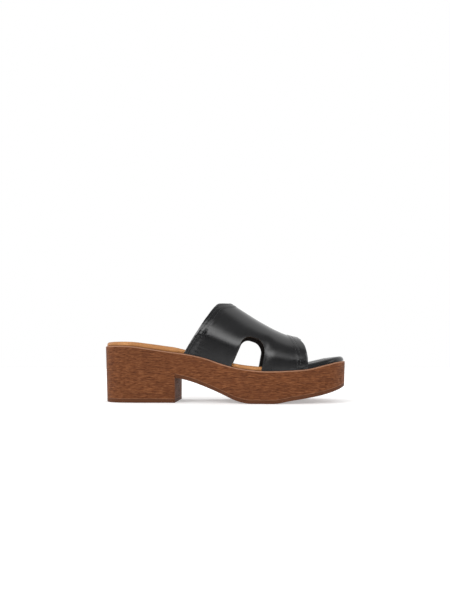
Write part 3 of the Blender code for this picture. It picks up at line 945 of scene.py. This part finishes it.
bm, cells = mapped_grid(COLUMNS, ROWS, lambda i, j: upper_point(i / COLUMNS, j / ROWS))
places = {vertex: (i / COLUMNS, j / ROWS) for vertex, (i, j) in cells.items()}
clear = {}
for vertex, place in places.items():
    clear[vertex] = out_of_cutout(vertex.co / MM)
    if abs(clear[vertex]) < SNAP:
        places[vertex] = pull_to_outline(*place)
        clear[vertex] = 0.0
gone = [face for face in bm.faces if min(clear[vertex] for vertex in face.verts) < -1e-6]
gone += [face for face in bm.faces if max(clear[vertex] for vertex in face.verts) < 1e-6]
bmesh.ops.delete(bm, geom=list(set(gone)), context="FACES")
places = {vertex: places[vertex] for vertex in bm.verts}
cut_edge = set()
for edge in bm.edges:
    if edge.is_boundary:
        cut_edge.update(vertex for vertex in edge.verts if clear[vertex] < CUT_EDGE_REACH)
for vertex in cut_edge:
    if clear[vertex] > 0.0:
        places[vertex] = pull_to_outline(*places[vertex])
near_cut = [
    vertex for vertex in bm.verts
    if clear[vertex] < EASED_REACH and vertex not in cut_edge and not vertex.is_boundary
]
for _ in range(EASE_ROUNDS):
    for vertex in near_cut:
        around = [places[edge.other_vert(vertex)] for edge in vertex.link_edges]
        places[vertex] = tuple(sum(axis) / len(around) for axis in zip(*around))
for vertex, place in places.items():
    vertex.co = upper_point(*place) * MM
bmesh.ops.recalc_face_normals(bm, faces=bm.faces[:])
bm.normal_update()
if max(bm.verts, key=lambda vertex: vertex.co.z).normal.z < 0:
    bmesh.ops.reverse_faces(bm, faces=bm.faces[:])
    bm.normal_update()


def edge_tree(points):
    """Return a search tree of the points along an edge."""
    tree = KDTree(len(points))
    for index, point in enumerate(points):
        tree.insert(point, index)
    tree.balance()
    return tree


EDGE_SAMPLES = 1500
edge_trees = {
    "collar": edge_tree([upper_point(0.0, n / EDGE_SAMPLES) for n in range(EDGE_SAMPLES + 1)]),
    "front": edge_tree([upper_point(1.0, n / EDGE_SAMPLES) for n in range(EDGE_SAMPLES + 1)]),
    "cutout": edge_tree([vertex.co / MM for vertex in cut_edge]),
}


def from_edge(point, edge):
    """Return how far a point of the upper is from one of its edges."""
    return edge_trees[edge].find(point)[2]


def smooth_step(value, low, high):
    """Return 0 below a range, 1 above it and a smooth change between."""
    share = min(max((value - low) / (high - low), 0.0), 1.0)
    return share * share * (3 - 2 * share)


# The leather sinks in a soft trough in front of each cut-out. In the side view the trough follows
# a line from its top to its foot, and it fades out over the upper part of that line.
TROUGH_TOP = Vector((44.4, 69.0))
TROUGH_FOOT = Vector((36.0, 30.0))
TROUGH_WIDTH = 5.2
TROUGH_DEPTH = 1.9
TROUGH_FADE = 0.4


def trough_depth(point):
    """Return how far the leather sinks at a point in front of a cut-out."""
    place = Vector((point.x, point.z))
    run = TROUGH_FOOT - TROUGH_TOP
    share = (place - TROUGH_TOP).dot(run) / run.length_squared
    held = min(max(share, 0.0), 1.0)
    away = (TROUGH_TOP + run * held - place).length / TROUGH_WIDTH
    return TROUGH_DEPTH * smooth_step(share, 0.0, TROUGH_FADE) * math.exp(-away * away)


def leather_rise(point):
    """Return how far the leather stands off its plain shape."""
    rise = -trough_depth(point)
    pucker = PUCKER * smooth_step(ridge(point.x) - point.z, *PUCKER_TOP)
    pucker *= unevenness(point / PUCKER_SIZE)
    for hem in HEMS:
        away = from_edge(point, hem.edge)
        rise += hem.swell * (1 - smooth_step(away, hem.width - HEM_STEP, hem.width))
        for stitch in hem.stitches:
            rise -= STITCH_GROOVE * math.exp(-((away - stitch) / GROOVE_WIDTH) ** 2)
        rise -= EDGE_ROLL * (1 - smooth_step(away, 0.0, EDGE_ROLL_WIDTH))
        rise += pucker * (1 - smooth_step(away, hem.stitches[0], PUCKER_REACH))
    away = from_edge(point, "cutout")
    rise -= CUT_ROLL * (1 - smooth_step(away, 0.0, CUT_ROLL_WIDTH))
    return rise


rises = {vertex: leather_rise(vertex.co / MM) for vertex in bm.verts}
normals = {vertex: vertex.normal.copy() for vertex in bm.verts}
for vertex, rise in rises.items():
    vertex.co += normals[vertex] * rise * MM
bm.normal_update()
upper_surface = BVHTree.FromBMesh(bm)


LINING_DARK = (0.007, 0.007, 0.0075)
LINING_LIGHT = (0.012, 0.012, 0.0125)


def lining_leather():
    """Return the lining's finish: matt black with a soft nap."""
    material, tree, shader = new_material("lining_leather", IOR=1.45)
    grain = grained(tree, pebble_size=0.5)
    colour = colour_mix(tree, graded(tree, grain["Tone"], 0.3, 0.7), LINING_DARK, LINING_LIGHT)
    tree.links.new(colour, shader.inputs["Base Color"])
    tree.links.new(graded(tree, grain["Tone"], 0.3, 0.7, 0.7, 0.85), shader.inputs["Roughness"])
    bumped(tree, shader, grain["Height"], depth=0.05)
    return material


band_leather = black_leather("band_leather", pebble_size=0.75, roughness=0.2, relief=0.006)
edge_paint = black_leather("edge_paint", pebble_size=0.4, roughness=0.5, relief=0.03)
upper = make_piece("leather_band", bm, band_leather, lining_leather(), edge_paint)
wall = upper.modifiers.new("leather_and_lining", "SOLIDIFY")
wall.thickness = WALL * MM
wall.offset = -1.0
wall.use_quality_normals = True
wall.material_offset = 1
wall.material_offset_rim = 2
round_edges(upper, width=0.5, segments=3, angle=50)
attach(upper, "root")
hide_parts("upper")


# Stitching: two rows of black polyester thread along the collar and two along the front. They hold
# the turned edges down, and each stitch is sunk into its row's groove.
STITCH_PITCH = 3.0
STITCH_LENGTH = 2.3
THREAD = 0.62
THREAD_DARK = (0.01, 0.01, 0.011)
THREAD_LIGHT = (0.03, 0.03, 0.032)
ROW_POINTS = 320
ROW_END = 0.012
ROW_HALVINGS = 18
ROW_SEARCH = {"collar": (0.0, 0.3), "front": (1.0, 0.7)}


def stitch_line(edge, away):
    """Return points on the upper's surface along a line at a distance from an edge."""
    line = []
    for n in range(ROW_POINTS + 1):
        over = ROW_END + (1 - 2 * ROW_END) * n / ROW_POINTS
        low, high = ROW_SEARCH[edge]
        for _ in range(ROW_HALVINGS):
            along = (low + high) / 2
            if from_edge(upper_point(along, over), edge) < away:
                low = along
            else:
                high = along
        location, normal, _, _ = upper_surface.find_nearest(upper_point(low, over) * MM)
        line.append((location, normal))
    return line


def sew(bm, line):
    """Add a row of stitches along a line."""
    travelled = 0.0
    due = STITCH_PITCH * MM / 2
    for (start, start_normal), (end, _) in zip(line, line[1:]):
        length = (end - start).length
        while travelled + length >= due:
            centre = start.lerp(end, (due - travelled) / length)
            tangent = (end - start).normalized()
            normal = (start_normal - tangent * start_normal.dot(tangent)).normalized()
            across = normal.cross(tangent)
            thread = bmesh.ops.create_uvsphere(bm, u_segments=6, v_segments=4, radius=0.5 * MM)
            for vertex in thread["verts"]:
                across_way, up_way, along_way = vertex.co
                vertex.co = (
                    centre + across * across_way * THREAD + normal * up_way * THREAD
                    + tangent * along_way * STITCH_LENGTH
                )
            due += STITCH_PITCH * MM
        travelled += length


def black_thread():
    """Return the thread's finish: black twisted polyester with a slight shine."""
    material, tree, shader = new_material("black_thread", IOR=1.5)
    place = add(tree, "ShaderNodeTexCoord").outputs["Object"]
    twist = noise(tree, sized(tree, place, 0.25, 0.25, 0.25), detail=2.0)
    colour = colour_mix(tree, graded(tree, twist, 0.35, 0.65), THREAD_DARK, THREAD_LIGHT)
    tree.links.new(colour, shader.inputs["Base Color"])
    tree.links.new(graded(tree, twist, 0.35, 0.65, 0.4, 0.55), shader.inputs["Roughness"])
    bumped(tree, shader, twist, depth=0.06)
    return material


thread_finish = black_thread()
for hem in HEMS:
    bm = bmesh.new()
    for away in hem.stitches:
        sew(bm, stitch_line(hem.edge, away))
    bmesh.ops.recalc_face_normals(bm, faces=bm.faces[:])
    stitching = make_piece(hem.edge + "_stitching", bm, thread_finish)
    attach(stitching, "root")


# Studio: a white paper floor, a soft box in front of the shoe, a pale glow behind it and two soft
# lamps. The camera stands a little above the floor and looks at the shoe's outer side.
WHITE = (1.0, 1.0, 1.0, 1.0)
FLOOR_SIZE = 9.0
FLOOR_GLOW = 0.37
FLOOR_TONE = (0.8, 0.8, 0.8, 1.0)
bm = bmesh.new()
bmesh.ops.create_grid(bm, x_segments=1, y_segments=1, size=FLOOR_SIZE)
floor_paper, tree, shader = new_material("white_paper", Roughness=0.9, Emission_Strength=FLOOR_GLOW)
shader.inputs["Emission Color"].default_value = WHITE
shader.inputs["Base Color"].default_value = FLOOR_TONE
floor = make_piece("floor", bm, floor_paper)

# Each glow has a range, in degrees above the floor or along an axis, and its strength at the ends.
NEAR_FLOOR = (10.0, 15.0, 0.36, 0.03)
OVERHEAD = (30.0, 46.0, 0.0, 0.34)
BOX_FOOT = (20.0, 23.0, 0.0, 4.5)
BOX_TOP = (27.0, 46.0, 1.0, 0.0)
BOX_FADE = (-0.15, 0.3, 1.0, 0.33)
BOX_RIGHT = (0.35, 0.7, 1.0, 0.0)
BOX_BACK = (-0.75, -0.4, 1.0, 0.0)
BEHIND = (-0.3, 0.1)
BACK_GLOW = (0.15, 0.85, 1.15, 0.9)
world = bpy.data.worlds.new("studio")
world.use_nodes = True
bpy.context.scene.world = world
tree = world.node_tree
backdrop = tree.nodes["Background"]
backdrop.inputs["Color"].default_value = WHITE
backdrop.inputs["Strength"].default_value = 1.0
toward = add(tree, "ShaderNodeTexCoord").outputs["Generated"]
axes = add(tree, "ShaderNodeSeparateXYZ", {"Vector": toward}).outputs
height = math_of(tree, "ARCSINE", axes["Z"], 0.0)
height = math_of(tree, "MULTIPLY", height, 180 / math.pi)
soft_box = graded(tree, height, *BOX_FOOT)
for way, fade in (
    (height, BOX_TOP), (axes["X"], BOX_FADE), (axes["X"], BOX_RIGHT), (axes["Y"], BOX_BACK)
):
    soft_box = math_of(tree, "MULTIPLY", soft_box, graded(tree, way, *fade))
front_glow = math_of(tree, "ADD", graded(tree, height, *NEAR_FLOOR), graded(tree, height, *OVERHEAD))
front_glow = math_of(tree, "ADD", front_glow, soft_box)
behind = graded(tree, axes["Y"], *BEHIND)
in_front = math_of(tree, "SUBTRACT", 1.0, behind)
front_glow = math_of(tree, "MULTIPLY", front_glow, in_front)
back_glow = math_of(tree, "MULTIPLY", behind, graded(tree, axes["Y"], *BACK_GLOW))
glow = math_of(tree, "ADD", front_glow, back_glow)
ambient = add(tree, "ShaderNodeBackground", {"Color": WHITE, "Strength": glow})
seen = add(tree, "ShaderNodeLightPath").outputs["Is Camera Ray"]
both = add(tree, "ShaderNodeMixShader", {0: seen, 1: ambient.outputs[0], 2: backdrop.outputs[0]})
tree.links.new(both.outputs[0], tree.nodes["World Output"].inputs["Surface"])

Lamp = namedtuple("Lamp", "name pitch turn spread strength")
LAMPS = [
    Lamp(name="left", pitch=58.0, turn=-50.0, spread=30.0, strength=0.95),
    Lamp(name="right", pitch=62.0, turn=64.0, spread=30.0, strength=0.6),
]
for lamp in LAMPS:
    light = bpy.data.lights.new(lamp.name, "SUN")
    light.energy = lamp.strength
    light.angle = math.radians(lamp.spread)
    holder = bpy.data.objects.new(lamp.name, light)
    holder.rotation_euler = (math.radians(lamp.pitch), 0.0, math.radians(lamp.turn))
    bpy.context.scene.collection.objects.link(holder)

CAMERA_TURN = math.radians(1.5)
CAMERA_DISTANCE = 0.48
CAMERA_HEIGHT = 0.0358
CAMERA_LENS = 27.17
CAMERA_SENSOR = 36.0
FRAME_HEIGHT = 600
FRAME_SHIFT_X = 0.15
FRAME_SHIFT_Y = 67
camera = bpy.data.cameras.new("camera")
camera.lens = CAMERA_LENS
camera.sensor_width = CAMERA_SENSOR
camera.shift_x = FRAME_SHIFT_X / FRAME_HEIGHT
camera.shift_y = FRAME_SHIFT_Y / FRAME_HEIGHT
camera.clip_start = 0.01
viewer = bpy.data.objects.new("camera", camera)
viewer.location = (
    CAMERA_DISTANCE * math.sin(CAMERA_TURN),
    -CAMERA_DISTANCE * math.cos(CAMERA_TURN),
    CAMERA_HEIGHT,
)
viewer.rotation_euler = (math.pi / 2, 0.0, CAMERA_TURN)
bpy.context.scene.collection.objects.link(viewer)
bpy.context.scene.camera = viewer
bpy.context.scene.view_settings.view_transform = "Standard"
